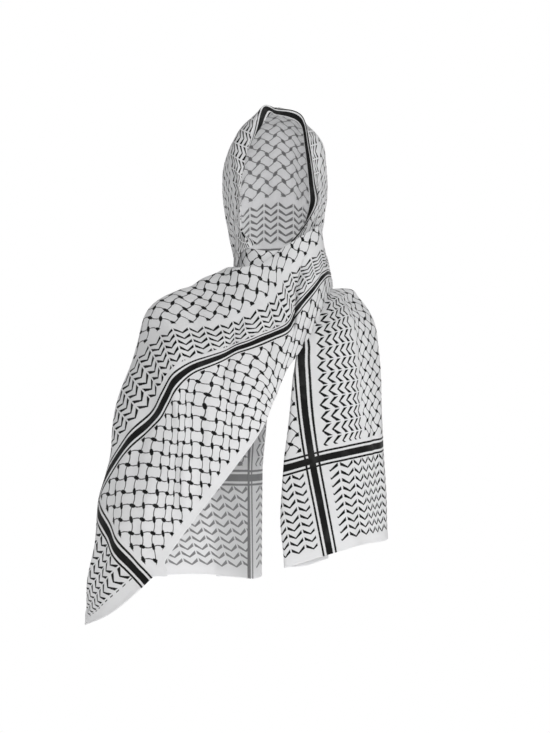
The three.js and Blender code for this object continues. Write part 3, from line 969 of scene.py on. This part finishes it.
@dataclass(frozen=True)
class Hood(Stretch):
    """Over the crown, both sides of the head and the nape, with the border turned in at the face."""

    cut: Cut = Cut("hood_cloth", ("hood", "hood_border"), (0.65, 0.46), 0.21, "draped", ("head",),
                   (Edge.PLAIN, Edge.ROLLED, Edge.PLAIN, Edge.PLAIN), 0.9, 11)
    creases: Rows = (
        (640, 500, 700, 250, 14, -6), (1180, 520, 1120, 260, 14, -6), (800, 170, 1040, 150, 16, -5),
        (760, 90, 1080, 84, 18, 6), (850, 400, 800, 150, 13, -3.2, 0.3, 4),
        (905, 330, 880, 110, 11, -3.6, 0.3), (965, 420, 985, 95, 12, -4.2, 0.3, 5),
        (1030, 300, 1075, 120, 10, -3, 0.3), (1085, 430, 1140, 210, 12, -3.6, 0.3),
        (735, 455, 690, 200, 11, -3.4, 0.3), (700, 560, 655, 420, 8, -2.6, 0.3),
        (1140, 560, 1200, 440, 8, -2.6, 0.3), (720, 215, 900, 200, 7, -2.8, 0.3),
        (960, 210, 1150, 232, 7, -3, 0.3), (690, 130, 830, 118, 8, -2.4, 0.3),
        (1010, 60, 1180, 40, 9, -3, 0.3),
    )
    # x, y, z of the fold that frames the face
    rim: Rows = (
        (-36, -78, -245), (-52, -70, -217), (-54, -62, -162), (-47, -68, -90), (-22, -88, -5),
        (14, -94, 4), (61, -86, -13), (72, -76, -63), (81, -64, -126), (85, -60, -169),
        (56, -70, -219), (40, -74, -238),
    )
    # where the fold falls in the flat cloth, one for each station
    rim_across: tuple[float, ...] = (612, 588, 585, 592) + 8 * (619.6,)
    # share of the half width and share of the height, one for each station
    arch: Rows = (
        (-1, 0), (-0.82, 0.17), (-0.92, 0.4), (-1.0, 0.74), (-0.69, 0.9), (0.05, 1),
        (0.64, 0.89), (0.97, 0.74), (0.98, 0.48), (0.9, 0.3), (0.84, 0.12), (1, 0),
    )
    # across, less of it at the sides, top y, top z, half width left, half width right,
    # left end, right end
    rows: Rows = (
        (583, 22, -58, -3, 69, 81, (-50, -62, -258), (66, -46, -240)),
        (530, 6, -10, 0, 80, 88, (-60, -36, -282), (76, -34, -242)),
        (472, 0, 42, -11, 89, 92, (-63, -12, -292), (80, -22, -246)),
        (408, 0, 88, -46, 94, 95, (-65, 8, -296), (82, -8, -250)),
        (345, 0, 112, -98, 91, 92, (-66, 26, -300), (83, 6, -254)),
        (277, 0, 114, -163, 81, 88, (-66, 42, -306), (84, 16, -260)),
        (213.5, 0, 98, -228, 73, 82, (-68, 48, -308), (86, 22, -276)),
        (160, 0, 90, -288, 76, 92, (-78, 44, -314), (97, 26, -300)),
        (101, 0, 98, -346, 84, 118, (-88, 36, -332), (122, 26, -326)),
        (48, 0, 110, -400, 90, 147, (-98, 32, -352), (144, 19.2, -332.3)),
        (0, 0, 116, -444, 92, 156, (-104, 28, -370), (157, 18, -337)),
    )
    middle_x: float = 9.0
    crown_station: int = 5
    crown_along: float = 925.0
    side_height: float = 0.4
    # beside the right cheek some of the chevrons lie in a tuck behind the band: how much cloth,
    # its start along from the crown, its blend, its start across and its reach
    tuck_depth: float = 46.0
    tuck: tuple[float, float, float, float] = (62.0, 40.0, 408.0, 190.0)
    turn_width: float = 17.0
    fold_width: float = 4.1
    # how far the border turns in, one x, y, z for each station
    turn: Rows = (
        (9, 13, 7), (-5, 16, 1), (-6, 16, 0), (-5, 16, -1), (10, 12, -10), (0, 14, -8),
        (-3, 12, -12), (-7, 13, -4), (-10, 12, 0), (-12, 10, 3), (4, 16, 2), (4, 16, 2),
    )

    def arch_row(self, row: tuple[Any, ...]) -> np.ndarray:
        """One arch of the hood.

        Args:
            row: a row of the table.

        Returns:
            Its knots.
        """
        across, less, top_y, top_z, half_left, half_right, left, right = row
        out = []
        for share, height in self.arch:
            end = left if share < 0 else right
            x = self.middle_x + share * (half_left if share < 0 else half_right)
            k = float(soften(np.array(height / self.side_height)))
            out.append([end[0] + (x - end[0]) * k, end[1] + (top_y - end[1]) * height,
                        end[2] + (top_z - end[2]) * height, 0.0,
                        across - less * float(soften(np.array(abs(share) * 1.7 - 0.7)))])
        return np.array(out)

    def surface(self, step: float) -> Surface:
        """Middle of the cloth before its creases, with the border turned in behind the face's fold."""
        rim = sight(np.array(self.rim, dtype=float))
        rim = np.column_stack([rim, np.zeros(len(rim)), np.array(self.rim_across)])
        knots = np.array([rim, *(self.arch_row(row) for row in self.rows)])
        for row in knots:
            run = walked(gaps(row[:, :3]))
            row[:, 3] = self.crown_along + run - run[self.crown_station]
        return self.with_border(loft(knots, step), knots)

    def with_border(self, outside: Surface, knots: np.ndarray) -> Surface:
        """Adds the fold and the border turned in to the hood's surface.

        Args:
            outside: the surface from the face's fold to the lower selvage.
            knots: the knots that it runs through.

        Returns:
            The whole surface, from the turned border's edge to the lower selvage.
        """
        normal = outside.normals()[0]
        ahead = outside.place[0] - outside.place[3]
        ahead /= np.linalg.norm(ahead, axis=1, keepdims=True)
        ahead -= normal * (ahead * normal).sum(axis=1, keepdims=True)
        k_columns = walked(gaps(knots[..., :3], axis=1).mean(axis=0))
        turn = through(np.array(self.turn, dtype=float), k_columns, outside.walk_columns)
        rim, flat = outside.place[0], outside.flat[0]
        middle, radius = rim - normal * LAP / 2, LAP / 2
        rows, across = [], []
        for k in np.linspace(1.0, 0.04, 9):
            rows.append(rim - normal * LAP + turn * k)
            across.append(self.fold_width + self.turn_width * k)
        for angle in np.linspace(math.pi, 0.0, 7)[:-1]:
            rows.append(middle + radius * (normal * math.cos(angle) + ahead * math.sin(angle)))
            across.append(self.fold_width * angle / math.pi)
        border = np.array(rows)
        border_flat = np.array([flat + [0.0, further] for further in across])
        length = walked(gaps(np.concatenate([border, outside.place[:1]])).mean(axis=1))
        walk = np.concatenate([length[:-1], length[-1] + outside.walk_rows])
        made = Surface(np.concatenate([border, outside.place]),
                       np.concatenate([border_flat, outside.flat]), walk, outside.walk_columns)
        along, across = made.flat[..., 0], made.flat[..., 1]
        tuck_along, tuck_blend, tuck_across, tuck_reach = self.tuck
        made.hidden = (-self.tuck_depth * soften((along - self.crown_along - tuck_along) / tuck_blend)
                       * np.clip((across - tuck_across) / tuck_reach, 0.0, 1.0))
        made.beyond = np.zeros((len(walk) - 1, along.shape[1] - 1), dtype=bool)
        made.beyond[len(border) + 3:] = True
        return made


@dataclass(frozen=True)
class UnderChin(Stretch):
    """Under the chin and up the left side of the neck, inside the hood."""

    cut: Cut = Cut("under_chin_cloth", ("under_chin",), (0.06, 0.19), 0.010, "draped", ("head",),
                   (Edge.PLAIN, Edge.PLAIN, Edge.PLAIN, Edge.PLAIN), 0.3, 23)
    creases: Rows = ((545, 505, 400, 500, 5, -1.2),)
    # top, middle and low of each station from the left side of the neck to the right
    rows: Rows = (
        ((-58.6, 22, -256), (-59.4, 22, -276), (-60, 22, -304)),
        ((-56, -18, -250), (-58, -20, -272), (-59, -21, -304)),
        ((-43, -48, -248), (-45, -51, -272), (-46, -52, -304)),
        ((-6, -66, -253), (-7, -68, -276), (-8, -70, -306)),
        ((30, -64, -250), (31, -66, -274), (33, -68, -304)),
        ((54, -46, -246), (57, -47, -268), (60, -48, -298)),
    )
    across: Point = (522, 496, 462)

    def surface(self, step: float) -> Surface:
        """Middle of the cloth before its creases."""
        knots = []
        for number, cells in enumerate(self.rows):
            points = sight(np.array(cells, dtype=float))
            along = np.full(len(points), 560.0 - 45.0 * number)
            knots.append(np.column_stack([points, along, np.array(self.across)]))
        return loft(np.array(knots), step)


# ---- studio
@dataclass(frozen=True)
class SoftLight:
    """A square lamp: where it hangs, where it looks, its size and its power."""

    name: str
    place: Point
    target: Point
    size: float
    power: float

    def build(self) -> bpy.types.Object:
        """Makes the lamp."""
        lamp = bpy.data.lights.new(self.name, "AREA")
        lamp.shape, lamp.size, lamp.energy = "SQUARE", self.size, self.power
        made = bpy.data.objects.new(self.name, lamp)
        made.location = self.place
        aim = Vector(self.target) - Vector(self.place)
        made.rotation_euler = aim.to_track_quat("-Z", "Y").to_euler()
        bpy.context.scene.collection.objects.link(made)
        return made


@dataclass(frozen=True)
class Studio:
    """Floor, air, lamps and camera."""

    floor_z: float = -1.55
    floor_radius: float = 2.2
    camera_place: Point = (0.009, -3.5, -0.461)
    lens: float = 95.5
    clip_end: float = 60.0
    air: float = 0.50
    lamps: tuple[SoftLight, ...] = (
        SoftLight("key", (1.6, -2.4, 0.7), (0.0, 0.0, -0.4), 1.1, 26.0),
        SoftLight("front", (0.15, -3.3, -0.1), (0.0, 0.0, -0.2), 0.7, 32.0),
        SoftLight("back", (0.3, 2.6, 0.5), (0.0, 0.0, -0.2), 1.6, 60.0),
    )

    def build(self, floor_finish: PaleStudio) -> None:
        """Makes the studio.

        Args:
            floor_finish: paint of the floor.
        """
        scene = bpy.context.scene
        camera = bpy.data.objects.new("camera", bpy.data.cameras.new("camera"))
        camera.location, camera.rotation_euler = self.camera_place, (math.pi / 2, 0.0, 0.0)
        camera.data.sensor_fit, camera.data.sensor_height = "VERTICAL", SENSOR
        camera.data.lens, camera.data.clip_end = self.lens, self.clip_end
        scene.collection.objects.link(camera)
        scene.camera = camera
        self.floor(floor_finish)
        self.world()
        for lamp in self.lamps:
            lamp.build()
        scene.view_settings.view_transform = "Standard"
        scene.view_settings.look = "None"

    def floor(self, finish: PaleStudio) -> None:
        """Makes the round floor."""
        around = [(self.floor_radius * math.cos(a), self.floor_radius * math.sin(a), self.floor_z)
                  for a in np.linspace(0.0, 2 * math.pi, 64, endpoint=False)]
        mesh = bpy.data.meshes.new("floor")
        mesh.from_pydata(around, [], [tuple(range(len(around)))])
        mesh.materials.append(finish.material())
        floor = bpy.data.objects.new("floor", mesh)
        bpy.context.scene.collection.objects.link(floor)

    def world(self) -> None:
        """Makes even air light behind a white surround."""
        bench = Bench(bpy.data.worlds.new("air"))
        seen = bench.node("ShaderNodeLightPath").outputs["Is Camera Ray"]
        soft, white = (bench.node("ShaderNodeBackground", None, {0: WHITE, 1: glow}).outputs[0]
                       for glow in (self.air, 1.0))
        mix = bench.node("ShaderNodeMixShader", None, {0: seen, 1: soft, 2: white})
        bench.node("ShaderNodeOutputWorld", None, {0: mix.outputs[0]})
        bpy.context.scene.world = bench.owner


def main() -> None:
    """Builds the garment and its studio."""
    logging.basicConfig(level=logging.INFO, format="%(name)s: %(message)s")
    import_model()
    step = FULL_STEP
    Studio().build(PaleStudio())
    chiffon = PrintedChiffon()
    finishes = [chiffon.material(Side.RIGHT), chiffon.material(Side.WRONG)]
    for stretch in (Hood(), UnderChin(), LeftTail(), LeftTurn(), RightTail()):
        stretch.build(step, finishes)


if __name__ == "__main__":
    main()
